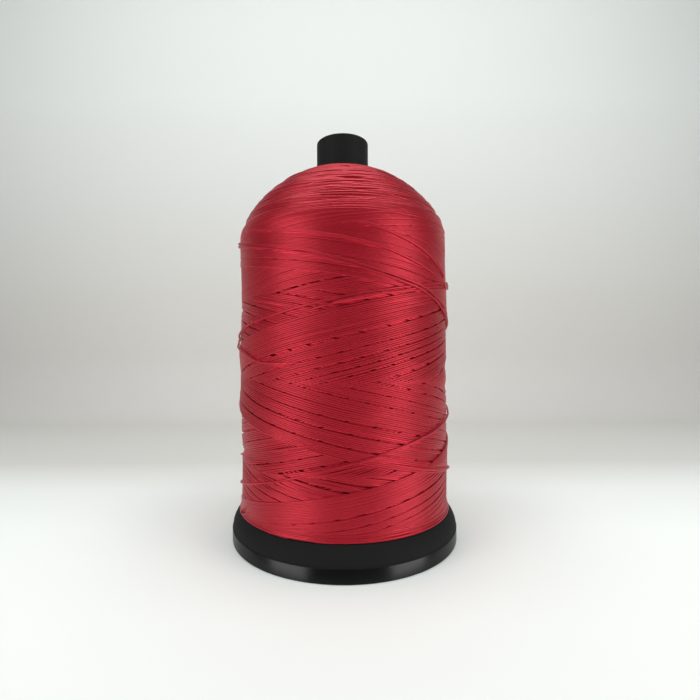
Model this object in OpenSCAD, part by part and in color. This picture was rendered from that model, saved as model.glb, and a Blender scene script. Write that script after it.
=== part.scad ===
// King-size spool of sewing thread: a tube on a wide moulded foot, with a cross-wound package.
// Millimetres, +Z up. The origin is the centre of the foot's underside, on the surface it stands on.

/* [Core tube] */
// Outer diameter of the tube
tube_d = 23; // [20:0.5:28]
// Wall of the tube
tube_wall = 2; // [1.5:0.1:3]
// Height of the tube's top above the surface that the spool stands on
spool_h = 173; // [170:1:190]
// Radius that breaks the tube's top edge
tube_edge = 0.5; // [0.2:0.1:0.8]

/* [Base flange] */
// Diameter of the rim band
base_d = 98; // [96:1:110]
// Height of the rim band
band_h = 5.4; // [4:0.2:7]
// Step from the rim band in to the shoulder
band_step = 0.2; // [0.1:0.1:0.5]
// Radius of the quarter-round shoulder
shoulder_r = 9.4; // [8:0.2:11]
// Wall of the moulded shell
base_wall = 2.2; // [1.6:0.1:3]
// Radius that breaks the foot's lower outer edge
foot_edge = 0.4; // [0.2:0.1:0.8]
// Wall of the hub round the tube's socket
hub_wall = 2.4; // [1.6:0.1:4]
// Height of the hub's lower end above the surface
hub_lift = 1; // [0.6:0.1:2]
// Thickness of the ledge that the tube stands on
ledge_h = 2; // [1:0.1:3]
// Width of the ledge that the tube stands on
ledge_w = 1.6; // [1:0.1:1.8]
// Number of stiffening ribs in the underside
rib_count = 6; // [4:1:8]
// Thickness of a rib
rib_t = 1.6; // [1:0.1:2.4]
// Height of the ribs' lower edges above the surface
rib_lift = 4; // [2:0.5:5]
// Width of the thread-end notch in the shoulder
notch_w = 1.2; // [0.6:0.1:2]
// Height of the thread-end notch
notch_h = 2.2; // [1:0.1:3]
// Depth of the thread-end notch into the shoulder
notch_depth = 1; // [0.5:0.1:1.5]
// Height of the thread-end notch's lower end above the rim band
notch_lift = 2.2; // [0.5:0.1:4]
// Direction of the thread-end notch
notch_angle = -14; // [-90:1:90]

/* [Thread package] */
// Outer diameter of the package along its straight side
package_d = 90.2; // [84:0.2:92]
// Height at which the straight side turns into the dome
dome_start = 128; // [110:1:135]
// Height of the dome where it meets the tube
dome_top = 158.5; // [150:0.5:162]
// Power of the dome's curve: 2 is an ellipse, less is more pointed
dome_power = 1.56; // [1.4:0.02:2]
// Extra radius of the package's lowest turns, which lie on the shoulder
skirt_flare = 0.8; // [0:0.1:1.4]
// Height over which the lowest turns draw in to the straight side
skirt_h = 6; // [4:0.5:12]
// Clearance of the package from the tube and the foot
package_fit = 0.05; // [0.02:0.01:0.2]

/* [Outer layer of turns] */
// Diameter of the thread
thread_d = 0.65; // [0.5:0.05:0.8]
// Strokes of the outer layer, up and down the package in turn
strokes = 8; // [4:2:8]
// Turns in one stroke, to the next whole number
stroke_turns = 3; // [2:1:3]
// Sharpness of the reversals: near 1 the strokes run straight to their ends
reversal_sharpness = 0.9; // [0.7:0.02:0.96]
// Least gap between the upward turns and the downward turns that cross over them
cross_gap = 0.45; // [0.42:0.01:0.8]

/* [Hidden] */
$fn = 128;
RINGS = 24;            // rings of the thread's tube in one turn
SIDES = 6;             // sides of the thread's tube
DOME_STEPS = 32;       // straight steps along the dome's curve
ARC_STEPS = 12;        // straight steps along a quarter-round
SKIRT_STEPS = 6;       // straight steps along the part of the shoulder that the package lies on
BEND_STEPS = 4;        // steps of the bend at each end of the outer layer

tube_r = tube_d / 2;
bore_r = tube_r - tube_wall;
base_r = base_d / 2;
shoulder_c = base_r - band_step - shoulder_r;   // radius at which the shoulder's arc is centred
deck_z = band_h + shoulder_r;
inner_arc_r = shoulder_r - (base_wall - band_step);
socket_r = tube_r + package_fit;
hub_r = socket_r + hub_wall;
tube_z = hub_lift + ledge_h;
ledge_r = socket_r - ledge_w;
package_r = package_d / 2;

// A straight chord between two rings dips this far below the turn that it follows.
chord_dip = package_r * (1 - cos(180 / RINGS));
low_lift = thread_d / 2 + chord_dip + package_fit;
high_lift = low_lift + thread_d + cross_gap;
layer_h = high_lift + thread_d / 2;
core_r = package_r - layer_h;
core_top = dome_top - layer_h;
hole_r = tube_r + package_fit;

// Points of an arc round [cx, cz] from angle a0 to angle a1.
function arc(cx, cz, r, a0, a1, steps) =
    [for (i = [0:steps]) let(a = a0 + (a1 - a0) * i / steps) [cx + r * cos(a), cz + r * sin(a)]];

// Core tube ------------------------------------------------------------------

module core_tube() {
    color("#1c1c1c")
    rotate_extrude()
    polygon(concat(
        [[bore_r, tube_z], [tube_r, tube_z]],
        arc(tube_r - tube_edge, spool_h - tube_edge, tube_edge, 0, 90, 6),
        arc(bore_r + tube_edge, spool_h - tube_edge, tube_edge, 90, 180, 6)));
}

// Base flange ----------------------------------------------------------------

// The foot's outside as one solid disc, with its rim band and quarter-round shoulder.
module foot_outside() {
    rotate_extrude()
    polygon(concat(
        [[0, 0]],
        arc(base_r - foot_edge, foot_edge, foot_edge, -90, 0, 4),
        [[base_r, band_h]],
        arc(shoulder_c, band_h, shoulder_r, 0, 90, ARC_STEPS),
        [[0, deck_z]]));
}

// The hollow of the underside, between the rim and the hub.
module foot_hollow() {
    rotate_extrude()
    polygon(concat(
        [[hub_r, -1], [base_r - base_wall, -1]],
        arc(shoulder_c, band_h, inner_arc_r, 0, 90, ARC_STEPS),
        [[hub_r, deck_z - base_wall + band_step]]));
}

// Ribs from the hub to the rim, under the deck.
module ribs() {
    for (i = [0:rib_count - 1])
        rotate([0, 0, 360 * (i + 0.5) / rib_count])
        translate([hub_r - hub_wall / 2, -rib_t / 2, rib_lift])
        cube([base_r - hub_r, rib_t, deck_z - rib_lift - base_wall / 2]);
}

// Narrow cut in the shoulder that holds the loose end of the thread.
module end_notch() {
    rotate([0, 0, notch_angle])
    translate([base_r - notch_depth - band_step, -notch_w / 2, band_h + notch_lift])
    cube([shoulder_r, notch_w, notch_h]);
}

module base_flange() {
    color("#1e1e1e")
    difference() {
        union() {
            difference() {
                foot_outside();
                foot_hollow();
            }
            intersection() {
                ribs();
                foot_outside();
            }
        }
        // Socket for the tube, above the ledge.
        translate([0, 0, tube_z])
        cylinder(r = socket_r, h = deck_z);
        // Way for the stand's pin through the ledge.
        translate([0, 0, -1])
        cylinder(r = ledge_r, h = deck_z);
        // The hub stops above the surface that the foot stands on.
        translate([0, 0, -1])
        cylinder(r = hub_r, h = 1 + hub_lift);
        end_notch();
    }
}

// Thread package -------------------------------------------------------------

// Radius and height of the dome, from 0 at the straight side to 1 at the tube.
function dome_point(u) = [
    hole_r + (core_r - hole_r) * pow(cos(90 * u), 2 / dome_power),
    dome_start + (core_top - dome_start) * pow(sin(90 * u), 2 / dome_power)];

// The lowest turns lie on the shoulder, at this radius and height.
skirt_r = core_r + skirt_flare;
rest_r = shoulder_r + package_fit;
skirt_angle = acos((skirt_r - shoulder_c) / rest_r);
skirt_z = on_shoulder(skirt_angle)[1];
function on_shoulder(a) = [shoulder_c + rest_r * cos(a), band_h + rest_r * sin(a)];

// Outline of the body of the package from its lowest edge up the side and over the dome.
side_points = concat(
    [for (u = [0:0.25:1]) [core_r + skirt_flare * pow(1 - u, 2), skirt_z + skirt_h * u]],
    [[core_r, dome_start]]);
dome_points = [for (i = [1:DOME_STEPS]) dome_point(i / DOME_STEPS)];
outline = concat(side_points, dome_points);

module inner_windings() {
    color("#b3202f")
    rotate_extrude()
    polygon(concat(
        [[hole_r, deck_z + package_fit]],
        [for (i = [0:SKIRT_STEPS - 1]) on_shoulder(90 + (skirt_angle - 90) * i / SKIRT_STEPS)],
        outline));
}

// Outer layer of turns -------------------------------------------------------

// Length along the outline up to each of its points.
function run_lengths(p, i = 0, sum = 0) =
    i == len(p) - 1 ? [sum] : concat([sum], run_lengths(p, i + 1, sum + norm(p[i + 1] - p[i])));

lengths = run_lengths(outline);
radius_at = [for (i = [0:len(outline) - 1]) [lengths[i], outline[i][0]]];
height_at = [for (i = [0:len(outline) - 1]) [lengths[i], outline[i][1]]];

// The turns keep this far from the package's lowest edge and from the tube.
end_margin = 2 * thread_d;
first_run = end_margin;
last_run = lengths[len(lengths) - 1] - end_margin - layer_h;

function unit(v) = v / norm(v);
function smooth(x) = let(c = min(1, max(0, x))) c * c * (3 - 2 * c);

// Point at a length along the outline, lifted square off the surface, as [radius, height].
function lifted(run, lift) =
    let(
        step = thread_d,
        along = [lookup(run + step, radius_at) - lookup(run - step, radius_at),
                 lookup(run + step, height_at) - lookup(run - step, height_at)],
        out = unit([along[1], -along[0]]))
    [lookup(run, radius_at), lookup(run, height_at)] + lift * out;

// Each double stroke falls short of whole turns by one part of a turn, so the strokes lie evenly apart.
stroke_length = stroke_turns - 1 / strokes;
turns = strokes * stroke_length;

// Share of the way up the package after t turns: a zigzag with rounded reversals.
function climb(t) =
    0.5 - asin(reversal_sharpness * cos(180 * t / stroke_length)) / asin(reversal_sharpness) / 2;
function run_after(t) = first_run + (last_run - first_run) * climb(t);

// Upward strokes lie on the package and downward strokes cross over them. The thread changes layer
// round each reversal, before it meets the next crossing, which is 1 / strokes of a turn away.
function lift_after(t) =
    let(
        reversal = round(t / stroke_length),
        change = smooth(0.5 + (t - reversal * stroke_length) * strokes / 2),
        upper = reversal % 2 == 1 ? change : 1 - change)
    low_lift + (high_lift - low_lift) * upper;

function on_turn(t, lift) =
    let(q = lifted(run_after(t), lift))
    [q[0] * cos(360 * t), q[0] * sin(360 * t), q[1]];

// Each end leaves the package square to it, straight for one diameter, and bends into its turn.
BEND = 0.8;            // radius of that bend, in thread diameters
bend_r = BEND * thread_d;
function end_points(t, way) =
    let(
        foot = on_turn(t, 0),
        out = unit(on_turn(t, 1) - foot),
        ahead = unit(on_turn(t + way / RINGS / 4, 0) - foot),
        bend_c = foot + (package_fit + thread_d) * out + bend_r * ahead)
    concat(
        [foot + package_fit * out],
        [for (i = [0:BEND_STEPS])
            let(a = 90 * i / BEND_STEPS)
            bend_c + bend_r * (sin(a) * out - cos(a) * ahead)]);

// The last downward stroke ends one ring short of the first stroke's start.
last_ring = round(turns * RINGS) - 1;
reversed_end = end_points(last_ring / RINGS, -1);
route = concat(
    end_points(0, 1),
    [for (i = [1:last_ring - 1]) on_turn(i / RINGS, lift_after(i / RINGS))],
    [for (i = [len(reversed_end) - 1:-1:0]) reversed_end[i]]);

// Directions of the route, and a side vector carried along it without twist.
function heading(p, i) =
    i == 0 ? unit(p[1] - p[0]) :
    i == len(p) - 1 ? unit(p[i] - p[i - 1]) :
    unit(unit(p[i + 1] - p[i]) + unit(p[i] - p[i - 1]));
function square_to(v, d) = unit(v - (v * d) * d);

module swept_tube(p, r) {
    n = len(p);
    first_side = square_to([0, 0, 1], heading(p, 0));
    sides = [for (i = 0, v = first_side; i < n; i = i + 1, v = i < n ? square_to(v, heading(p, i)) : v) v];
    points = [for (i = [0:n - 1])
        let(u = sides[i], w = cross(heading(p, i), u))
        for (k = [0:SIDES - 1])
            let(a = 360 * k / SIDES)
            p[i] + r * (cos(a) * u + sin(a) * w)];
    skin = [for (i = [0:n - 2], k = [0:SIDES - 1])
        let(
            a = i * SIDES + k,
            b = i * SIDES + (k + 1) % SIDES,
            c = b + SIDES,
            d = a + SIDES)
        each [[a, d, c], [a, c, b]]];
    first_cap = [for (k = [1:SIDES - 2]) [0, k, k + 1]];
    last_cap = [for (k = [1:SIDES - 2]) [(n - 1) * SIDES, (n - 1) * SIDES + k + 1, (n - 1) * SIDES + k]];
    polyhedron(points = points, faces = concat(first_cap, skin, last_cap));
}

// Least distance between two stretches of the route that lie more than half a turn apart.
POINTS_PER_STEP = 3;
REACH = 9;             // points looked at on each side of the same place in the other stretch
fine_route = [for (i = [0:len(route) - 2], k = [0:POINTS_PER_STEP - 1])
    route[i] + (route[i + 1] - route[i]) * k / POINTS_PER_STEP];
function least_gap(p, per_turn) =
    min([for (i = [0:len(p) - 1], k = [1:turns], j = [-REACH:REACH])
        let(other = i + k * per_turn + j)
        if (other < len(p)) norm(p[other] - p[i])]) - thread_d;

module outer_winding() {
    echo(least_gap_mm = least_gap(fine_route, RINGS * POINTS_PER_STEP), rings = len(route));
    color("#c8283a")
    swept_tube(route, thread_d / 2);
}

core_tube();
base_flange();
inner_windings();
outer_winding();
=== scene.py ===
import math

import bmesh
import bpy
import numpy as np
from mathutils import Matrix, Vector


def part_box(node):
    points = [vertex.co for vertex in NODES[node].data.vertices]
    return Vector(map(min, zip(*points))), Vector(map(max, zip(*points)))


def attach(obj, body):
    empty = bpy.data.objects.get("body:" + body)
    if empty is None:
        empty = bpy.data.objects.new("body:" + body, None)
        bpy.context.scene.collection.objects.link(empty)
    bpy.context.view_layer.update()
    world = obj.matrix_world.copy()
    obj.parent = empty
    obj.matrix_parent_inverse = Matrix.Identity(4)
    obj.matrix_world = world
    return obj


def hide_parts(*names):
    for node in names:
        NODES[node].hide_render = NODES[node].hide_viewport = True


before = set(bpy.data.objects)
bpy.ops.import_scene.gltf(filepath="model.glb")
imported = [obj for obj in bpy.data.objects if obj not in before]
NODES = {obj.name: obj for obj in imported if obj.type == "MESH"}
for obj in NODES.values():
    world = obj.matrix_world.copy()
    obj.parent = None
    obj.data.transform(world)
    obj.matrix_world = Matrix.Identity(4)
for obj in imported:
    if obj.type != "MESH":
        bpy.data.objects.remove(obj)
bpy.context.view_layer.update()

# A king-size spool of bonded nylon thread on a black moulded tube and foot.
# Sizes are in millimetres until a piece is made; MM turns them into metres.
MM = 0.001


def box_mm(node):
    """Lowest and highest corner of a CAD node's box."""
    low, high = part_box(node)
    return np.array(low) / MM, np.array(high) / MM


TUBE_R = box_mm("core_tube")[1][0]
DECK_Z = box_mm("base_flange")[1][2]
X_AND_Y = [0, 1, 3, 4]  # where the x and y of a box's two corners lie in one row
PACKAGE_R = float(np.abs(np.concatenate(box_mm("outer_winding")))[X_AND_Y].max())
BODY_TOP = box_mm("inner_windings")[1][2]

# ---- Shape of the thread package ---------------------------------------------
DOME_START = 128.0     # height where the straight side turns into the dome
TOP_TURNS = 2.2        # height of the topmost turns above the CAD's plain body
DOME_TOP = BODY_TOP + TOP_TURNS
DOME_POWER = 1.56      # 2 would be an ellipse
SKIRT_TOP = 21.0       # below this height the turns swell out towards the foot
SKIRT_Z = 15.0         # height of the widest turns
SKIRT_FLARE = 0.1      # how far the widest turns stand out from the straight side
LOWEST_Z = 12.5        # lower edge of the package, on the foot's shoulder
UNDERCUT = 0.08        # how quickly the package draws in below its widest turns

THREAD_D = 0.84        # bonded thread
THREAD_R = THREAD_D / 2

# ---- Height map that the strokes are laid on ------------------------------------
COLUMNS = 960          # columns round the package
ROW = 0.1              # height of a row along the outline
NORMAL_ROWS = 31       # rows over which the outline's normals are smoothed


def smoothed(values, weights, edge="edge", **how):
    """Running mean with the given weights. It keeps the number of values."""
    padded = np.pad(values, len(weights) // 2, edge, **how)
    return np.convolve(padded, weights / weights.sum(), "valid")


def package_outline():
    """Evenly spaced points (radius, height) up the side and over the dome, with their outward normals."""
    z_low = np.linspace(LOWEST_Z, SKIRT_Z, 20, endpoint=False)
    r_low = PACKAGE_R + SKIRT_FLARE - UNDERCUT * (SKIRT_Z - z_low) ** 2
    z_skirt = np.linspace(SKIRT_Z, SKIRT_TOP, 60, endpoint=False)
    r_skirt = PACKAGE_R + SKIRT_FLARE * ((SKIRT_TOP - z_skirt) / (SKIRT_TOP - SKIRT_Z)) ** 2
    z_side = np.linspace(SKIRT_TOP, DOME_START, 200, endpoint=False)
    r_side = np.full(200, PACKAGE_R)
    u = np.linspace(0, math.pi / 2, 400)
    r_dome = TUBE_R + (PACKAGE_R - TUBE_R) * np.cos(u).clip(0) ** (2 / DOME_POWER)
    z_dome = DOME_START + (DOME_TOP - DOME_START) * np.sin(u) ** (2 / DOME_POWER)
    r = np.concatenate([r_low, r_skirt, r_side, r_dome])
    z = np.concatenate([z_low, z_skirt, z_side, z_dome])
    run = np.concatenate([[0], np.cumsum(np.hypot(np.diff(r), np.diff(z)))])
    rows = np.arange(0, run[-1], ROW)
    r, z = np.interp(rows, run, r), np.interp(rows, run, z)
    along = np.gradient(np.stack([r, z]), axis=1)
    along = np.stack([smoothed(a, np.ones(NORMAL_ROWS)) for a in along])
    along /= np.hypot(*along)
    return r, z, along[1], -along[0]


OUT_R, OUT_Z, NORMAL_R, NORMAL_Z = package_outline()
ROWS = len(OUT_R)
RUN = np.arange(ROWS) * ROW    # distance along the outline from its lower end, called the run


def run_at(z):
    return float(np.interp(z, OUT_Z, RUN))


# Pitch: how far a stroke climbs in one turn, by height. It is small at both ends, where the turns lie dense.
PITCH_Z = [12, 14, 16, 20, 26, 34, 41, 92, 100, 108, 120, 128, 134, 159]
PITCH = [30, 38, 46, 52, 52, 57, 68, 69, 56, 45, 42, 35, 27, 24]
PITCH_BY_ROW = np.interp(OUT_Z, PITCH_Z, PITCH)
SIDE_PITCH = 69                 # greatest pitch, on the straight side
SLOW_LOW, SLOW_HIGH = 3.0, 4.0  # a stroke's climb slows this near to its lower and its upper end

REFERENCE = run_at(70)          # run at which the strokes' angles are given
LAST_UP, LAST_DOWN = -135, -148  # angle of the last upward and downward stroke there
STROKE_SHIFT = 4.5              # degrees from one stroke to the next of its kind
STROKES = 128                   # double strokes that are laid
TURNS_ABOVE = 1.43              # turns of a stroke above the reference
FOOT = 0.6                      # run at which the lowest strokes turn back
FIRST_PILE = 1.5                # height that the crowded turns keep to when the first stroke is laid
GROWTH = 1.5                    # how far that height rises until the last stroke

rng = np.random.default_rng(21)
ground = np.zeros((COLUMNS, ROWS), np.float32)     # height of what has been laid so far
laid = []              # (turns, run, lift, tone) of each stretch, in the order of winding
WINDOW = np.arange(-4, 5)      # rows about a thread that it touches
GRIP = 0.55            # share of the thread's radius, each way, in which the ground carries it
PRESS = 0.3            # how far crowded turns may still stand out


def settle(lift, step):
    """Thread is taut: it bridges the dips below it, as far as the package's curve lets it."""
    for span in (14, 9, 6, 4, 2, 1, 3, 7, 1):
        if len(lift) > 2 * span:
            sag = (span * step) ** 2 / (2 * PACKAGE_R)
            bridge = (lift[:-2 * span] + lift[2 * span:]) / 2 - sag
            lift[span:-span] = np.maximum(lift[span:-span], bridge)
    return lift


def lay(turns, run, tone, most, extra=0.0):
    """Lays a stretch of thread on the ground and raises the ground by it. Where the turns are crowded,
    their tension presses them in, so that the pile stays near the height that most gives."""
    column = np.round(turns * COLUMNS).astype(int) % COLUMNS
    row = run / ROW
    near = np.floor(row).astype(int)
    rows = (near[:, None] + WINDOW).clip(0, ROWS - 1)
    off = (rows - row[:, None]) * ROW
    below = ground[column[:, None], rows]
    section = np.sqrt((THREAD_R ** 2 - off ** 2).clip(0))
    rest = np.where(np.abs(off) < GRIP * THREAD_R, below + section, 0)
    lift = np.maximum(rest.max(axis=1), THREAD_R)
    lift = settle(smoothed(lift, np.ones(5)), 2 * math.pi * PACKAGE_R / COLUMNS)
    over = (lift - most).clip(0)
    lift = lift - over + PRESS * np.tanh(over / PRESS / 3) + extra
    top = np.where(np.abs(off) < THREAD_R, lift[:, None] + section, 0)
    np.maximum.at(ground, (column[:, None], rows), top.astype(np.float32))
    laid.append((turns, run, lift, tone))


def wobble(turns, size, count=3):
    """Slow wander of a thread from its even course."""
    out = np.zeros_like(turns)
    for waves in rng.uniform(0.5, 3.0, count):
        out += np.sin(2 * math.pi * (waves * turns + rng.random())) / count
    return size * out


def climb(low, high):
    """Runs from low to high, with the turns that they take. The climb is rounded off at both ends."""
    u = np.linspace(0, math.pi, 1500)
    run = low + (high - low) * (1 - np.cos(u)) / 2
    middle = (run[1:] + run[:-1]) / 2
    pace = np.interp(middle, RUN, PITCH_BY_ROW)
    pace = pace * np.sqrt(((middle - low) / SLOW_LOW).clip(0, 1) * ((high - middle) / SLOW_HIGH).clip(0, 1))
    turns = np.concatenate([[0], np.cumsum(np.diff(run) / pace)])
    return run, turns - np.interp(REFERENCE, run, turns)


def every_column(turns, run):
    """The same course, with one point at each column."""
    columns = np.arange(math.ceil(turns[0] * COLUMNS), math.floor(turns[-1] * COLUMNS) + 1)
    return columns / COLUMNS, np.interp(columns / COLUMNS, turns, run)


IN_GROUP = 0.76        # distance from one stroke to the next in its group, before scaling
MORE_GROUPS = 4, 7     # strokes in a group past the listed ones: the least, and one more than the most
GAP_SPREAD = 0.45, 1.6  # least and greatest share of the given gap between two groups


def group_offsets(sizes, gap):
    """Offsets in mm along the package of strokes that lie in groups: close together, then a gap."""
    offsets, groups, at, group = [], [], 0.0, 0
    left = sizes[0]
    for _ in range(STROKES):
        offsets.append(at)
        groups.append(group)
        at += IN_GROUP
        left -= 1
        if left == 0:
            group += 1
            left = sizes[group] if group < len(sizes) else int(rng.integers(*MORE_GROUPS))
            at += gap * rng.uniform(*GAP_SPREAD)
    scale = STROKE_SHIFT / 360 * SIDE_PITCH * STROKES / at
    return np.array(offsets) * scale, groups


up_offset, up_group = group_offsets([14, 6, 4, 3, 3, 5, 3], 0.62)
down_offset, down_group = group_offsets([6, 6, 5], 0.68)


def crest_run():
    """Run at which a stroke has made its turns above the reference, found in small corrections."""
    guess, correction = 60, 25
    high = REFERENCE + guess
    for _ in range(30):
        _, turns = climb(FOOT, high)
        high += (TURNS_ABOVE - turns[-1]) * correction
    return high


CREST = crest_run()

# Crest arcs of the earlier, longer strokes make the dome, from the tube down to the last strokes' reach.
ARCS = 230
ARC_SHIFT = 0.381966   # turns from one arc's start to the next, by the golden section, to spread them evenly
HIGHEST_ARC = RUN[-1] - 0.5
INSIDE = 0.4           # arcs stay this far from both ends of the outline
ARC_FALL = 24          # how far an arc falls in one turn past its level part
for i in range(ARCS):
    share = i / (ARCS - 1)
    top = HIGHEST_ARC - (HIGHEST_ARC - CREST - 1.0) * share + rng.normal(0, 0.45)
    top = min(top, RUN[-1] - INSIDE)
    level = rng.uniform(0.05, 0.2)    # turns on the level, with a falling reach on both sides
    reach = rng.uniform(0.16, 0.26)
    start = i * ARC_SHIFT + rng.uniform(-0.05, 0.05)
    turns = np.arange(0, int((level + 2 * reach) * COLUMNS)) / COLUMNS
    past = (np.abs(turns - turns.mean()) - level / 2).clip(0)
    run = top - ARC_FALL * past ** 1.6 + wobble(turns, 0.38)
    most = rng.uniform(0.3, 0.8) + 1.3 * (1 - (top - run) / 4.0).clip(0, 1)
    lay(turns + round(start * COLUMNS) / COLUMNS, run.clip(INSIDE, RUN[-1] - INSIDE), rng.normal(), most)

up_wobble = {g: rng.uniform(0, 100) for g in set(up_group)}
down_wobble = {g: rng.uniform(0, 100) for g in set(down_group)}


def shared_wobble(turns, seed, size):
    """Wander that all the strokes of a group share, so that the gaps beside it open and close."""
    slow = np.sin(2 * math.pi * (1.1 * turns + seed))
    quick = np.sin(2 * math.pi * (2.3 * turns + 1.7 * seed))
    return size * (slow + quick) / 2


OWN_WANDER, GROUP_WANDER = 0.1, 0.22    # how far a stroke strays by itself and with its group


def stray(turns, run, seed, even_run, ends):
    """Lets a stroke stray from its even course. The straying fades out at the stroke's ends."""
    fade = np.interp(run, even_run, ends)
    return run + fade * (wobble(turns, OWN_WANDER) + shared_wobble(turns, seed, GROUP_WANDER))


LOW_SPREAD = 1.6       # how far above the foot's run a stroke may turn back
CREST_FALL = 2.5       # how much lower the last strokes' crests are than the first ones'
CREST_SPREAD = 1.2     # spread of the crests
DWELL = 0.01, 0.45     # least and most turns that the guide dwells at the crest, for which thread is laid


def double_stroke(number):
    """One stroke up the package and one down again, with a level stretch at the crest between them."""
    age = STROKES - 1 - number
    low = FOOT + LOW_SPREAD * rng.random() ** 1.5
    high = CREST + CREST_FALL * (age / STROKES - 0.5) + rng.normal(0, CREST_SPREAD)
    most = FIRST_PILE + GROWTH * (number + 1) / STROKES
    run, turns = climb(low, high)
    ends = np.sin(math.pi * ((run - low) / (high - low)).clip(0, 1)) ** 0.3
    tone = rng.normal()
    at = LAST_UP / 360 + up_offset[age] / SIDE_PITCH
    up_turns, up_run = every_column(at + turns, run)
    up_run = stray(up_turns, up_run, up_wobble[up_group[age]], run, ends)
    at = LAST_DOWN / 360 + down_offset[age] / SIDE_PITCH
    down_turns, down_run = every_column((at - turns)[::-1], run[::-1])
    down_run = stray(down_turns, down_run, down_wobble[down_group[age]], run, ends)
    lay(up_turns, up_run, tone, most)
    dwell = (down_turns[0] - up_turns[-1]) % 1.0
    if DWELL[0] < dwell < DWELL[1]:
        level = up_turns[-1] + np.arange(0, int(round(dwell * COLUMNS)) + 1) / COLUMNS
        lay(level, np.interp(level, [level[0], level[-1]], [up_run[-1], down_run[0]]), tone, most)
    lay(down_turns, down_run, tone, most)


for stroke in range(STROKES):
    double_stroke(stroke)

# Turns that close the package's lower edge, where the guide dwells before it turns back.
CLOSING_RISES = [0.1, 0.8, 1.55, 2.25]    # run of each of them above the foot's
CLOSING_TURNS = 1.03                      # a full turn and a short overlap
for i, rise in enumerate(CLOSING_RISES):
    start = 0.5 + 0.04 * i    # on the back, each a little further round
    ring = start + np.arange(0, round(CLOSING_TURNS * COLUMNS)) / COLUMNS
    lay(ring, FOOT + rise + wobble(ring, 0.12), rng.normal(), FIRST_PILE + GROWTH - 0.1)


# Strands that slipped off their course while winding, as (degrees, height) from left to right.
# They lie on top. The first two meet in the bight, and the last two lie on the back.
LOOSE = {
    "bight_up": [(-150, 71), (-100, 82), (-66, 88.8), (-42, 92.7), (-19, 96.3), (8, 100.4), (31, 103.5),
                 (60, 107.3), (80, 108.9)],
    "bight_back": [(-16, 95.0), (-9, 96.1), (-2, 97.5), (11, 99.1), (22, 101.2), (38, 103.2), (58, 105.3),
                   (70, 107.1), (80, 107.7)],
    "under_bight": [(-6, 97.0), (12, 100.0), (35, 102.2), (60, 104.4), (95, 108.8)],
    "left_rise": [(-104, 31), (-66, 38.1), (-37, 43.2), (-19, 46.0), (-12, 46.9)],
    "long_rise": [(-124, 18.2), (-96, 21.0), (-68, 25.7), (-36, 31.7), (-12, 37.2), (8, 41.3), (22, 44.4),
                  (41, 47.7), (65, 51.7), (100, 58)],
    "left_fall": [(-104, 88), (-68, 81.2), (-53, 78.3), (-44, 75.9), (-33, 75.6), (-20, 75.9)],
    "frontier": [(-125, 133), (-72, 125.3), (-37, 119.4), (-19, 116.3), (-4, 113.2), (8, 110.4), (29, 106.1),
                 (41, 103.4), (54, 100.2), (64, 96.9), (92, 89), (120, 81)],
    "frontier_twin": [(-125, 131.4), (-72, 124.1), (-37, 118.2), (-19, 114.9), (-4, 112.0), (8, 109.3),
                      (29, 104.6), (41, 101.9), (54, 98.9), (64, 95.5), (92, 88), (112, 82)],
    "shoulder_fall": [(-62, 128.4), (-21, 122.9), (-11, 121.6), (0, 120.0), (15, 117.6), (50, 109.6),
                      (66, 105.0)],
    "shoulder_curve": [(4, 126.0), (15, 124.0), (26, 121.6), (41, 118.1), (58, 112.3), (68, 108.6)],
    "right_fall": [(18, 40.1), (29, 37.9), (55, 33.3), (78, 30.0), (104, 26.0)],
    "back_rise": [(128, 52), (160, 60), (200, 71.5), (240, 81.5)],
    "back_fall": [(140, 108), (175, 98.5), (215, 88.6), (235, 83.0)],
}
SINK = 1.3             # how far a strand's end dives among its neighbours
SINK_TURNS = 7 / 360   # turns that it takes to dive
ON_TOP = 9.0           # a pile so high that nothing presses the loose strands in
SLACK = 0.12           # how far a loose strand stands off what it lies on


def on_course(course):
    """Evenly spaced points on a smooth line through the course."""
    degrees = [a for a, _ in course]
    turns = np.arange(round(degrees[0] / 360 * COLUMNS), round(degrees[-1] / 360 * COLUMNS) + 1) / COLUMNS
    height = np.interp(turns * 360, degrees, [z for _, z in course])
    height = smoothed(height, np.hanning(33), "reflect", reflect_type="odd")
    return turns, np.interp(height, OUT_Z, RUN)


for name, course in LOOSE.items():
    turns, run = on_course(course)
    to_start, to_end = turns - turns[0], turns[-1] - turns
    if name.startswith("bight"):
        to_end = to_end + 1    # the bight's strands meet at their right-hand end, and don't dive there
    near_end = (np.minimum(to_start, to_end) / SINK_TURNS).clip(0, 1)
    dive = SLACK - SINK * (1 - near_end) ** 2
    # Painted light: a loose strand lies on top and gets a lighter tone than the turns below it.
    lay(turns, run + wobble(turns, 0.06), 1.0 + 0.4 * rng.normal(), ON_TOP, dive)

# The small bight at the right-hand side, where the loose strand turns back on itself.
BIGHT_REACH = 4.0 / 360    # turns past the strands' ends
BIGHT_RISE = 0.5           # how far it stands off them
# Painted light: the bight and the loop lie on top and get a lighter tone than the turns below them.
PAINTED_LIT_TONE = 1.0
(up_turns, up_run, up_lift, _), (_, back_run, back_lift, _) = laid[-len(LOOSE):][:2]
swing = np.linspace(0, math.pi, 41)
share = (1 - np.cos(swing)) / 2
laid.append((
    up_turns[-1] + BIGHT_REACH * np.sin(swing),
    up_run[-1] + (back_run[-1] - up_run[-1]) * share,
    up_lift[-1] + (back_lift[-1] - up_lift[-1]) * share + BIGHT_RISE * np.sin(swing),
    PAINTED_LIT_TONE))

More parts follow.
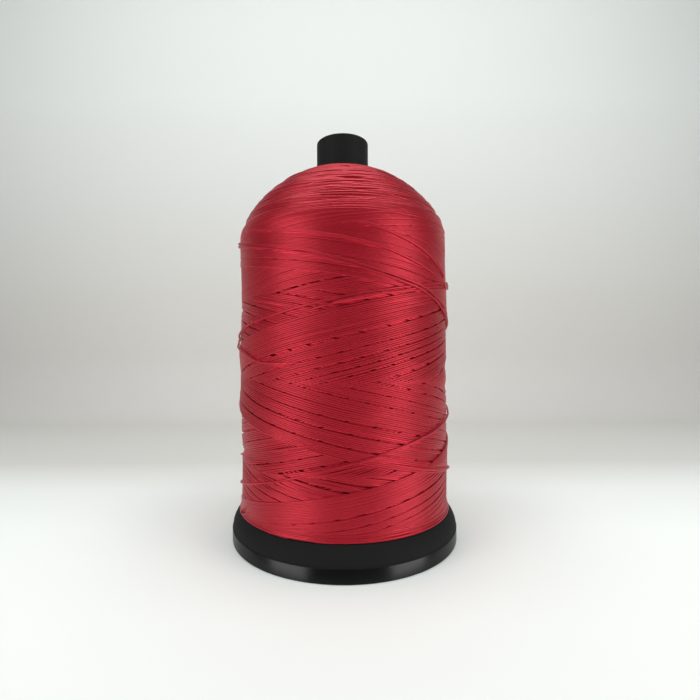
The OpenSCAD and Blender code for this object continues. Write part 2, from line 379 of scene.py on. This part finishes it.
# The small loop at the lower left, where a turn slipped off the skirt, as (degrees, height). Its ends dive.
LOOP = [(-50, 20.0), (-58, 18.7), (-65, 16.1), (-69.5, 13.6), (-63, 13.8), (-57, 16.2), (-50, 17.4)]
LOOP_SHARE, LOOP_RISE = [0, 0.2, 0.5, 0.8, 1], [-1.0, 0.2, 0.9, 0.2, -1.0]
knots = np.arange(len(LOOP))
fine = np.linspace(0, knots[-1], 91)
loop_turns, loop_run = [
    smoothed(np.interp(fine, knots, values), np.hanning(21), "reflect", reflect_type="odd")
    for values in (np.array([a for a, _ in LOOP]) / 360, np.interp([z for _, z in LOOP], OUT_Z, RUN))]
loop_rise = np.interp(fine / knots[-1], LOOP_SHARE, LOOP_RISE)
laid.append((loop_turns, loop_run, FIRST_PILE + GROWTH + THREAD_R + loop_rise, PAINTED_LIT_TONE))

# Height of the pile by row: the package's own outline is drawn in by as much.
pile = smoothed(np.quantile(ground, 0.6, axis=0), np.hanning(41))


def place(turns, run, lift):
    """Position in metres of points on the package. Angle 0 faces the camera, and turns grow to the right."""
    def by_row(values):
        return np.interp(run, RUN, values)
    out = lift - by_row(pile)
    r = by_row(OUT_R) + by_row(NORMAL_R) * out
    z = by_row(OUT_Z) + by_row(NORMAL_Z) * out
    angle = 2 * math.pi * turns
    return np.stack([r * np.sin(angle), -r * np.cos(angle), z], axis=1) * MM


KEEP_DEPTH = 1.15      # thread that lies deeper than this under the others isn't made
SPREAD = 16            # columns by which a visible stretch is made longer at each end
SHORTEST = 24          # a stretch of fewer columns isn't made
STEP = 12              # columns from one ring of a thread's tube to the next
DEEP = 0.6             # depth below its neighbours at which a thread counts as wholly in their shade


def visible(turns, run, lift):
    """Which points of a thread can be seen between the turns above them, or are near one that can."""
    column = np.round(turns * COLUMNS).astype(int) % COLUMNS
    rows = (np.round(run / ROW).astype(int)[:, None] + np.arange(-3, 4)).clip(0, ROWS - 1)
    depth = ground[column[:, None], rows].min(axis=1) - (lift + THREAD_R)
    shown = (depth < KEEP_DEPTH).astype(float)
    return np.convolve(np.pad(shown, SPREAD, "edge"), np.ones(2 * SPREAD + 1), "valid") > 0.5


def depth_below(turns, run, lift):
    """How deep a thread lies between its neighbours, from 0 on top to 1."""
    column = np.round(turns * COLUMNS).astype(int) % COLUMNS
    rows = (np.round(run / ROW).astype(int)[:, None] + np.arange(-8, 9)).clip(0, ROWS - 1)
    about = np.quantile(ground[column[:, None], rows], 0.7, axis=1)
    return ((about - lift - THREAD_R) / DEEP).clip(0, 1)


def outward(turns, run):
    """Direction in which the package faces at points on it."""
    flat, up = np.interp(run, RUN, NORMAL_R), np.interp(run, RUN, NORMAL_Z)
    angle = 2 * math.pi * turns
    return np.stack([flat * np.sin(angle), -flat * np.cos(angle), up], axis=1)


def stretches():
    """The visible stretches: their points, tone, how deep they lie and which way the package faces there."""
    for turns, run, lift, tone in laid:
        shown = visible(turns, run, lift)
        edge = np.flatnonzero(np.diff(np.concatenate([[0], shown.astype(int), [0]])))
        for first, last in zip(edge[::2], edge[1::2]):
            if last - first < SHORTEST:
                continue
            pick = np.unique(np.append(np.arange(first, last, STEP), last - 1))
            course = turns[pick], run[pick], lift[pick]
            yield place(*course), tone, depth_below(*course), outward(*course[:2])


# ---- Materials --------------------------------------------------------------
def srgb(code):
    """Linear colour of a hex value such as #b3202f."""
    parts = [int(code[i:i + 2], 16) / 255 for i in (1, 3, 5)]
    return tuple(p / 12.92 if p <= 0.04045 else ((p + 0.055) / 1.055) ** 2.4 for p in parts) + (1.0,)


def add(tree, kind, settings=(), **links):
    """Adds a node. Settings are its properties and constant inputs, links the sockets that feed it."""
    node = tree.nodes.new(kind)
    for name, value in dict(settings).items():
        if isinstance(name, str) and hasattr(node, name) and name not in node.inputs:
            setattr(node, name, value)
        else:
            node.inputs[name].default_value = value
    for name, source in links.items():
        tree.links.new(source, node.inputs[name.replace("_", " ")])
    return node


def material(name):
    """A new material without nodes, and its node tree."""
    made = bpy.data.materials.new(name)
    made.use_nodes = True
    made.node_tree.nodes.clear()
    return made, made.node_tree


PLIES = 3
CLOUD_MM = 1000 / 60   # size of the clouds of dye
LAY_MM = 9.6           # length in which the plies go once round each other, longer than real, to show at all
SOFTNESS = 0.75        # how strongly a strand is shaded as the package is, beside its own round form


def bonded_thread():
    """Bonded nylon thread, three twisted plies under a thin resin: a silky crimson whose lustre comes back
    coloured from inside the filaments, so that part of it is set as metallic. The strands differ in shade."""
    made, tree = material("bonded_nylon_thread")
    along = add(tree, "ShaderNodeAttribute", {"attribute_name": "along"})
    ring = add(tree, "ShaderNodeAttribute", {"attribute_name": "ring"})
    tone = add(tree, "ShaderNodeAttribute", {"attribute_name": "tone"})
    deep = add(tree, "ShaderNodeAttribute", {"attribute_name": "deep"})
    spot = add(tree, "ShaderNodeTexCoord")
    # Ply twist: a helix from the place round the thread and the length along it.
    sides = add(tree, "ShaderNodeSeparateXYZ", Vector=ring.outputs["Vector"])
    around = add(tree, "ShaderNodeMath", {"operation": "ARCTAN2"})
    tree.links.new(sides.outputs["Y"], around.inputs[0])
    tree.links.new(sides.outputs["X"], around.inputs[1])
    turned = add(tree, "ShaderNodeMath", {"operation": "MULTIPLY", 1: PLIES})
    tree.links.new(around.outputs[0], turned.inputs[0])
    phase = add(tree, "ShaderNodeMath", {"operation": "MULTIPLY_ADD", 1: 2 * math.pi * PLIES / LAY_MM})
    tree.links.new(along.outputs["Fac"], phase.inputs[0])
    tree.links.new(turned.outputs[0], phase.inputs[2])
    twist = add(tree, "ShaderNodeMath", {"operation": "SINE"})
    tree.links.new(phase.outputs[0], twist.inputs[0])
    # Light spreads sideways through the nylon, so a strand is shaded softer than its round form: its normals
    # lean towards the way the package faces.
    faces = add(tree, "ShaderNodeNewGeometry")
    skin = add(tree, "ShaderNodeAttribute", {"attribute_name": "skin"})
    pull = add(tree, "ShaderNodeVectorMath", {"operation": "SCALE", "Scale": SOFTNESS},
               Vector=skin.outputs["Vector"])
    leaning = add(tree, "ShaderNodeVectorMath", {"operation": "ADD"})
    tree.links.new(faces.outputs["Normal"], leaning.inputs[0])
    tree.links.new(pull.outputs["Vector"], leaning.inputs[1])
    soft = add(tree, "ShaderNodeVectorMath", {"operation": "NORMALIZE"})
    tree.links.new(leaning.outputs["Vector"], soft.inputs[0])
    bump = add(tree, "ShaderNodeBump", {"Strength": 0.06, "Distance": 0.00005}, Height=twist.outputs[0],
               Normal=soft.outputs["Vector"])
    # Colour: each strand's own tone, slow clouds of dye, and painted shade: darker in the valleys between the
    # plies, lighter on their ridges.
    cloud = add(tree, "ShaderNodeTexNoise", {"Scale": 1 / (CLOUD_MM * MM), "Detail": 3.0, "Roughness": 0.6},
                Vector=spot.outputs["Object"])
    own = add(tree, "ShaderNodeMath", {"operation": "MULTIPLY_ADD", 1: 0.03, 2: 0.14})
    tree.links.new(tone.outputs["Fac"], own.inputs[0])
    # Painted shade: the ply twist darkens the colour in its valleys and lightens it on its ridges.
    ply_valley_painted_shade = add(tree, "ShaderNodeMath", {"operation": "MULTIPLY_ADD", 1: 0.015})
    tree.links.new(twist.outputs[0], ply_valley_painted_shade.inputs[0])
    tree.links.new(own.outputs[0], ply_valley_painted_shade.inputs[2])
    clouded = add(tree, "ShaderNodeMath", {"operation": "MULTIPLY_ADD", 1: 0.2})
    tree.links.new(cloud.outputs["Fac"], clouded.inputs[0])
    tree.links.new(ply_valley_painted_shade.outputs[0], clouded.inputs[2])
    # Painted light: turns deep in a gap get a lighter colour, to lift the shade that falls on them there, as
    # light spreading sideways through the nylon would.
    shade = add(tree, "ShaderNodeMath", {"operation": "MULTIPLY_ADD", 1: 0.32})
    tree.links.new(deep.outputs["Fac"], shade.inputs[0])
    tree.links.new(clouded.outputs[0], shade.inputs[2])
    ramp = add(tree, "ShaderNodeValToRGB", Fac=shade.outputs[0])
    ramp.color_ramp.elements[0].position = 0.1
    ramp.color_ramp.elements[0].color = srgb("#9e0f20")
    # The lightest stop is reached only where the painted light for deep turns is added.
    ramp.color_ramp.elements[1].position = 0.85
    ramp.color_ramp.elements[1].color = srgb("#f42c47")
    ramp.color_ramp.elements.new(0.4).color = srgb("#b41a2e")
    surface = add(tree, "ShaderNodeBsdfPrincipled", {
        "Metallic": 0.5, "Roughness": 0.4, "IOR": 1.53, "Specular IOR Level": 0.35, "Sheen Weight": 0.05,
        "Sheen Roughness": 0.4, "Sheen Tint": srgb("#ffb4be"),
    }, Base_Color=ramp.outputs["Color"], Normal=bump.outputs["Normal"])
    out = add(tree, "ShaderNodeOutputMaterial")
    tree.links.new(surface.outputs[0], out.inputs["Surface"])
    return made


# Slope that the foot's rim band is shaded with, at its lower and its upper edge.
DRAFT_LOW, DRAFT_TOP = math.tan(math.radians(13)), math.tan(math.radians(19))
FADE = 0.0002          # metres in which the band's polish ends


def moulded_plastic(name, matte, polished, band_top):
    """Black moulded polypropylene, with fine flow grain and faint handling clouds. It is matte from the
    mould's etched face, and polished below band_top (in metres), where the foot's rim band was cut smooth."""
    made, tree = material(name)
    spot = add(tree, "ShaderNodeTexCoord")
    grain = add(tree, "ShaderNodeTexNoise", {"Scale": 900.0, "Detail": 4.0}, Vector=spot.outputs["Object"])
    cloud = add(tree, "ShaderNodeTexNoise", {"Scale": 45.0, "Detail": 3.0}, Vector=spot.outputs["Object"])
    place_on = add(tree, "ShaderNodeSeparateXYZ", Vector=spot.outputs["Object"])
    above = add(tree, "ShaderNodeMapRange", {
        "From Min": band_top - FADE, "From Max": band_top, "To Min": polished, "To Max": matte,
    }, Value=place_on.outputs["Z"])
    rough = add(tree, "ShaderNodeMath", {"operation": "MULTIPLY_ADD", 1: 0.1})
    tree.links.new(cloud.outputs["Fac"], rough.inputs[0])
    tree.links.new(above.outputs["Result"], rough.inputs[2])
    ramp = add(tree, "ShaderNodeValToRGB", Fac=cloud.outputs["Fac"])
    ramp.color_ramp.elements[0].color = srgb("#090a0a")
    ramp.color_ramp.elements[1].color = srgb("#111211")
    # Draft of the moulded band: its upright face is shaded as if it leaned in, more and more towards its top.
    # The lean grows evenly with the height, so the bump falls with the height and its square.
    growth = (DRAFT_TOP - DRAFT_LOW) / band_top / 2 if band_top else 0.0
    up_band = add(tree, "ShaderNodeMath", {"operation": "MINIMUM", 1: band_top})
    tree.links.new(place_on.outputs["Z"], up_band.inputs[0])
    steeper = add(tree, "ShaderNodeMath", {"operation": "MULTIPLY_ADD", 1: -growth, 2: -DRAFT_LOW})
    tree.links.new(up_band.outputs[0], steeper.inputs[0])
    lean = add(tree, "ShaderNodeMath", {"operation": "MULTIPLY"})
    tree.links.new(up_band.outputs[0], lean.inputs[0])
    tree.links.new(steeper.outputs[0], lean.inputs[1])
    draft = add(tree, "ShaderNodeBump", {"Strength": 1.0, "Distance": 1.0}, Height=lean.outputs[0])
    bump = add(tree, "ShaderNodeBump", {"Strength": 0.12, "Distance": 0.0001}, Height=grain.outputs["Fac"],
               Normal=draft.outputs["Normal"])
    surface = add(tree, "ShaderNodeBsdfPrincipled", {"IOR": 1.49, "Specular IOR Level": 0.22},
                  Base_Color=ramp.outputs["Color"], Roughness=rough.outputs[0], Normal=bump.outputs["Normal"])
    out = add(tree, "ShaderNodeOutputMaterial")
    tree.links.new(surface.outputs[0], out.inputs["Surface"])
    return made


BELOW_BAND = 6.6       # threads in a band of the body's pattern: single turns would be too fine to show


def under_thread():
    """The same thread deep in the package, in the shade of the turns above it. Its colour is painted darker
    than the top turns' as painted shade, and painted lighter on each band's ridge than in its valleys.
    """
    made, tree = material("bonded_nylon_thread_below_painted_shade")
    spot = add(tree, "ShaderNodeTexCoord")
    # A wave texture makes a band in a tenth of pi at scale 1.
    scale = math.pi / 10 / (BELOW_BAND * THREAD_D * MM)
    turns = add(tree, "ShaderNodeTexWave", {"bands_direction": "Z", "Scale": scale, "Distortion": 0.6},
                Vector=spot.outputs["Object"])
    bump = add(tree, "ShaderNodeBump", {"Strength": 0.8, "Distance": 0.0004}, Height=turns.outputs["Fac"])
    # Painted shade: darker than the top turns, darker in each band's valleys and lighter on its ridges.
    ramp = add(tree, "ShaderNodeValToRGB", Fac=turns.outputs["Fac"])
    ramp.color_ramp.elements[0].color = srgb("#7e0c18")
    ramp.color_ramp.elements[1].color = srgb("#b01524")
    surface = add(tree, "ShaderNodeBsdfPrincipled", {"Roughness": 0.6, "IOR": 1.53},
                  Base_Color=ramp.outputs["Color"], Normal=bump.outputs["Normal"])
    out = add(tree, "ShaderNodeOutputMaterial")
    tree.links.new(surface.outputs[0], out.inputs["Surface"])
    return made


THREAD = bonded_thread()
BELOW = under_thread()


# ---- Thread pieces ---------------------------------------------------------------
SIDES = 8              # sides of a thread's section


def sweep_nodes():
    """Sweeps a round thread along each line of a piece, and keeps where each point lies round it."""
    tree = bpy.data.node_groups.new("sweep_thread", "GeometryNodeTree")
    tree.interface.new_socket("Geometry", in_out="INPUT", socket_type="NodeSocketGeometry")
    tree.interface.new_socket("Geometry", in_out="OUTPUT", socket_type="NodeSocketGeometry")
    start = add(tree, "NodeGroupInput")
    line = add(tree, "GeometryNodeMeshToCurve", Mesh=start.outputs[0])
    circle = add(tree, "GeometryNodeCurvePrimitiveCircle", {"Resolution": SIDES, "Radius": THREAD_R * MM})
    spot = add(tree, "GeometryNodeInputPosition")
    ring = add(tree, "GeometryNodeStoreNamedAttribute", {"data_type": "FLOAT_VECTOR", "Name": "ring"},
               Geometry=circle.outputs["Curve"])
    tree.links.new(spot.outputs[0], ring.inputs["Value"])
    tube = add(tree, "GeometryNodeCurveToMesh", {"Fill Caps": True}, Curve=line.outputs["Curve"],
               Profile_Curve=ring.outputs["Geometry"])
    smooth = add(tree, "GeometryNodeSetShadeSmooth", Geometry=tube.outputs["Mesh"])
    end = add(tree, "NodeGroupOutput")
    tree.links.new(smooth.outputs[0], end.inputs[0])
    return tree


SWEEP = sweep_nodes()

STRIPS = 200           # rows of the map that the threads' surface is laid out on
STRIP_SPARE = 6.0      # mm left free at the end of a row
STRIP_MARGIN = 0.06    # share of a row left free at each side


def strip_map(mesh):
    """Lays the threads' surface out in even strips: the length runs across, the way round fills a strip."""
    corner_point = np.zeros(len(mesh.loops), np.int32)
    mesh.loops.foreach_get("vertex_index", corner_point)
    starts = np.zeros(len(mesh.polygons), np.int32)
    mesh.polygons.foreach_get("loop_start", starts)
    ring = np.zeros(len(mesh.vertices) * 3, np.float32)
    mesh.attributes["ring"].data.foreach_get("vector", ring)
    along = np.zeros(len(mesh.vertices), np.float32)
    mesh.attributes["along"].data.foreach_get("value", along)
    side = np.round(np.arctan2(ring[1::3], ring[0::3]) / (2 * math.pi) * SIDES).astype(int) % SIDES
    strip_mm = along.max() / (STRIPS - 1)
    corner_side, corner_along = side[corner_point].astype(float), along[corner_point]
    face = np.repeat(np.arange(len(starts)), np.diff(np.append(starts, len(corner_point))))
    first = np.minimum.reduceat(corner_along, starts)
    widest = np.maximum.reduceat(corner_side, starts) - np.minimum.reduceat(corner_side, starts)
    wraps = widest > SIDES / 2
    corner_side[wraps[face] & (corner_side == 0)] = SIDES
    row = np.floor(first / strip_mm)[face]
    across = (corner_along - row * strip_mm) / (strip_mm + STRIP_SPARE)
    up = (row + STRIP_MARGIN + (1 - 2 * STRIP_MARGIN) * corner_side / SIDES) / STRIPS
    layer = mesh.uv_layers.new(name="OFBake")
    layer.uv.foreach_set("vector", np.stack([across, up], 1).ravel().astype(np.float32))


def thread_piece(name, lines):
    """One piece made of many stretches of thread."""
    mesh = bpy.data.meshes.new(name + "_lines")
    line_points, tones, depths, facings = zip(*lines)
    points = np.concatenate(line_points)
    counts = [len(p) for p in line_points]
    firsts = np.concatenate([[0], np.cumsum(counts)[:-1]])
    tails = np.concatenate([np.arange(first, first + count - 1) for first, count in zip(firsts, counts)])
    mesh.from_pydata(points.tolist(), np.stack([tails, tails + 1], 1).tolist(), [])
    tone = mesh.attributes.new("tone", "FLOAT", "POINT")
    tone.data.foreach_set("value", np.repeat(tones, counts).astype(np.float32))
    # Painted light: how deep each point lies, which lightens its colour in the thread material.
    deep = mesh.attributes.new("deep", "FLOAT", "POINT")
    deep.data.foreach_set("value", np.concatenate(depths).astype(np.float32))
    skin = mesh.attributes.new("skin", "FLOAT_VECTOR", "POINT")
    skin.data.foreach_set("vector", np.concatenate(facings).ravel().astype(np.float32))
    step = np.linalg.norm(np.diff(points, axis=0, prepend=points[:1]), axis=1)
    step[firsts] = 0
    run = np.cumsum(step) / MM
    along = mesh.attributes.new("along", "FLOAT", "POINT")
    along.data.foreach_set("value", run.astype(np.float32))
    holder = bpy.data.objects.new(name + "_lines", mesh)
    bpy.context.scene.collection.objects.link(holder)
    sweep = holder.modifiers.new("sweep", "NODES")
    sweep.node_group = SWEEP
    graph = bpy.context.evaluated_depsgraph_get()
    made = bpy.data.meshes.new_from_object(holder.evaluated_get(graph))
    bpy.data.objects.remove(holder)
    made.materials.clear()
    made.materials.append(THREAD)
    strip_map(made)
    piece = bpy.data.objects.new(name, made)
    bpy.context.scene.collection.objects.link(piece)
    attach(piece, "root")
    return piece


PIECE_TRIANGLES = 185000    # a piece holds about so many at most
lines = list(stretches())
triangles = np.cumsum([len(line[0]) * 2 * SIDES for line in lines])
share = triangles // PIECE_TRIANGLES
for number in range(int(share[-1]) + 1):
    own = [line for line, s in zip(lines, share) if s == number]
    thread_piece(f"thread_turns_{number + 1}", own)
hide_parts("outer_winding")

BODY_STEPS = 160       # steps of the closed body round the package
BODY_ROWS = 8          # rows of the height map to one of the body's
BODY_DEPTH = 0.95      # how deep the body lies under the lowest turns about each of its points
TUBE_GAP = 0.05        # gap between the body and the tube
DECK_GAP = 0.1         # gap between the body and the foot
UNDERSIDE_IN = 2.5     # how far inside the lowest turns the underside ends
TOP_DROP = 1.0         # how far below the topmost turns the body meets the tube


def low_ground():
    """Lowest ground about each step round the package, by row."""
    low = ground.reshape(BODY_STEPS, -1, ROWS).min(axis=1)
    low = np.minimum(low, np.minimum(np.roll(low, 1, axis=0), np.roll(low, -1, axis=0)))
    reach = 6
    padded = np.pad(low, ((0, 0), (reach, reach)), "edge")
    low = np.lib.stride_tricks.sliding_window_view(padded, 2 * reach + 1, axis=1).min(axis=-1)
    return (np.roll(low, 1, axis=0) + 2 * low + np.roll(low, -1, axis=0)) / 4


def package_body():
    """Closed body below the visible turns: the outline spun round the tube, then drawn in below them."""
    pick = np.unique(np.append(np.arange(0, ROWS, BODY_ROWS), ROWS - 1))
    hole, floor = TUBE_R + TUBE_GAP, DECK_Z + DECK_GAP
    # Each point is (radius, height, number of its row plus one), with 0 where it isn't drawn in.
    outline = [(hole, floor, 0), (OUT_R[0] - UNDERSIDE_IN, floor, 0)]
    outline += [(OUT_R[row], OUT_Z[row], row + 1) for row in pick] + [(hole, OUT_Z[-1] - TOP_DROP, 0)]
    shell = bmesh.new()
    row_layer = shell.verts.layers.int.new("row")
    verts = []
    for x, z, row in outline:
        verts.append(shell.verts.new((x * MM, 0, z * MM)))
        verts[-1][row_layer] = int(row)
    edges = [shell.edges.new((a, b)) for a, b in zip(verts, verts[1:] + verts[:1])]
    bmesh.ops.spin(shell, geom=verts + edges, cent=(0, 0, 0), axis=(0, 0, 1), angle=2 * math.pi,
                   steps=BODY_STEPS, use_merge=True)
    bmesh.ops.remove_doubles(shell, verts=shell.verts, dist=1e-6)
    low = low_ground()
    for vert in shell.verts:
        row = vert[row_layer] - 1
        if row < 0:
            continue
        turns = math.atan2(vert.co.x, -vert.co.y) / (2 * math.pi)
        out = low[round(turns * BODY_STEPS) % BODY_STEPS, row] - BODY_DEPTH - pile[row]
        radius = max(OUT_R[row] + NORMAL_R[row] * out, hole)
        vert.co.x = radius * math.sin(2 * math.pi * turns) * MM
        vert.co.y = -radius * math.cos(2 * math.pi * turns) * MM
        vert.co.z = (OUT_Z[row] + NORMAL_Z[row] * out) * MM
    bmesh.ops.recalc_face_normals(shell, faces=shell.faces)
    mesh = bpy.data.meshes.new("package_body")
    shell.to_mesh(mesh)
    shell.free()
    mesh.shade_smooth()
    mesh.materials.append(BELOW)
    piece = bpy.data.objects.new("package_body", mesh)
    bpy.context.scene.collection.objects.link(piece)
    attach(piece, "root")
    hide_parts("inner_windings")


package_body()

BAND_TOP = 0.0055      # height of the upper edge of the foot's rim band, in metres
TUBE_PLASTIC = moulded_plastic("moulded_polypropylene_tube", matte=0.6, polished=0.6, band_top=0)
FOOT_PLASTIC = moulded_plastic("moulded_polypropylene_foot", matte=0.72, polished=0.18, band_top=BAND_TOP)
for node, plastic in (("core_tube", TUBE_PLASTIC), ("base_flange", FOOT_PLASTIC)):
    NODES[node].data.materials.clear()
    NODES[node].data.materials.append(plastic)


# ---- Floor, backdrop, light and camera ---------------------------------------------
def studio():
    """Pale sweep: a floor that turns up into a wall, far enough back to look at the spool from behind too."""
    floor_front, wall_y, bend, top, half = -1.2, 0.36, 0.08, 1.4, 1.6
    bend_steps = 12
    profile = [(floor_front, 0.0), (wall_y - bend, 0.0)]
    for i in range(1, bend_steps + 1):
        a = math.pi / 2 * i / bend_steps
        profile.append((wall_y - bend + bend * math.sin(a), bend - bend * math.cos(a)))
    profile.append((wall_y, top))
    sweep = bmesh.new()
    row = [sweep.verts.new((-half, y, z)) for y, z in profile]
    edges = [sweep.edges.new(pair) for pair in zip(row, row[1:])]
    made = bmesh.ops.extrude_edge_only(sweep, edges=edges)
    far_side = [v for v in made["geom"] if isinstance(v, bmesh.types.BMVert)]
    bmesh.ops.translate(sweep, vec=(2 * half, 0, 0), verts=far_side)
    bmesh.ops.recalc_face_normals(sweep, faces=sweep.faces)
    mesh = bpy.data.meshes.new("pale_sweep")
    sweep.to_mesh(mesh)
    sweep.free()
    mesh.shade_smooth()
    paper, tree = material("pale_paper")
    spot = add(tree, "ShaderNodeTexCoord")
    parts = add(tree, "ShaderNodeSeparateXYZ", Vector=spot.outputs["Object"])
    back_and_up = add(tree, "ShaderNodeMath", {"operation": "ADD"})
    tree.links.new(parts.outputs["Y"], back_and_up.inputs[0])
    tree.links.new(parts.outputs["Z"], back_and_up.inputs[1])
    # Way along the sweep in metres, from below the spool back over the floor and up the wall.
    last = 0.76
    way = add(tree, "ShaderNodeMapRange", {"From Max": last}, Value=back_and_up.outputs[0])
    # Painted shade and light: the paper is lightest in front of and under the spool, painted darker behind
    # it, round the bend and up the lower wall, and lighter again higher up the wall.
    shade = add(tree, "ShaderNodeValToRGB", Fac=way.outputs["Result"])
    shade.color_ramp.elements[0].color = srgb("#f6fbf8")
    shade.color_ramp.elements[1].color = srgb("#e8ecea")
    painted_paper_shades = ((0.055, "#f0f4f1"), (0.097, "#e2e3df"), (0.12, "#d8d8d4"), (0.36, "#d6d5d1"), (0.50, "#d9d8d4"))
    for at, code in painted_paper_shades:
        shade.color_ramp.elements.new(at / last).color = srgb(code)
    surface = add(tree, "ShaderNodeBsdfPrincipled", {"Roughness": 0.7}, Base_Color=shade.outputs["Color"])
    out = add(tree, "ShaderNodeOutputMaterial")
    tree.links.new(surface.outputs[0], out.inputs["Surface"])
    mesh.materials.append(paper)
    backdrop = bpy.data.objects.new("pale_sweep", mesh)
    bpy.context.scene.collection.objects.link(backdrop)


def soft_light(name, place_at, target, size, watts):
    """White rectangular lamp that the camera doesn't see."""
    light = bpy.data.lights.new(name, "AREA")
    light.shape = "RECTANGLE"
    light.size, light.size_y = size
    light.energy = watts
    lamp = bpy.data.objects.new(name, light)
    lamp.location = place_at
    lamp.rotation_euler = (Vector(target) - Vector(place_at)).to_track_quat("-Z", "Y").to_euler()
    lamp.visible_camera = False
    bpy.context.scene.collection.objects.link(lamp)


def camera():
    """Level close camera, a little askew. The lens' optical centre lies left of the middle of the frame."""
    lens = bpy.data.cameras.new("camera")
    focal_px, frame_px, off_centre_px = 443.0, 700.0, 9.8
    lens.sensor_width = 36
    lens.lens = focal_px / frame_px * lens.sensor_width
    lens.shift_x = off_centre_px / frame_px
    lens.clip_start = 0.01
    eye = bpy.data.objects.new("camera", lens)
    place_at = (-0.001465, -0.20015, 0.08043)
    lean = -0.0052
    right = Vector((1, 0, lean)).normalized()
    up = Vector((-lean, 0, 1)).normalized()
    turned = Matrix((right, up, right.cross(up))).transposed()
    eye.matrix_world = Matrix.Translation(place_at) @ turned.to_4x4()
    bpy.context.scene.collection.objects.link(eye)
    bpy.context.scene.camera = eye


studio()
# The two side lamps make the bright bands on the thread and the rim band, the ceiling the rest of the light.
MIDDLE = (0, 0, 0.08)
soft_light("left_lamp", (-0.42, -0.35, 0.12), target=MIDDLE, size=(0.34, 0.24), watts=1.25)
soft_light("right_lamp", (0.47, -0.30, 0.12), target=MIDDLE, size=(0.34, 0.24), watts=1.42)
soft_light("ceiling", (0, -0.1, 0.8), target=(0, -0.1, 0), size=(0.9, 0.4), watts=5.2)
# Faint even light from the rest of the room.
world = bpy.data.worlds.new("room")
world.use_nodes = True
world.node_tree.nodes["Background"].inputs["Color"].default_value = srgb("#f2f4f4")
world.node_tree.nodes["Background"].inputs["Strength"].default_value = 0.07
bpy.context.scene.world = world
bpy.context.scene.view_settings.view_transform = "Standard"
camera()
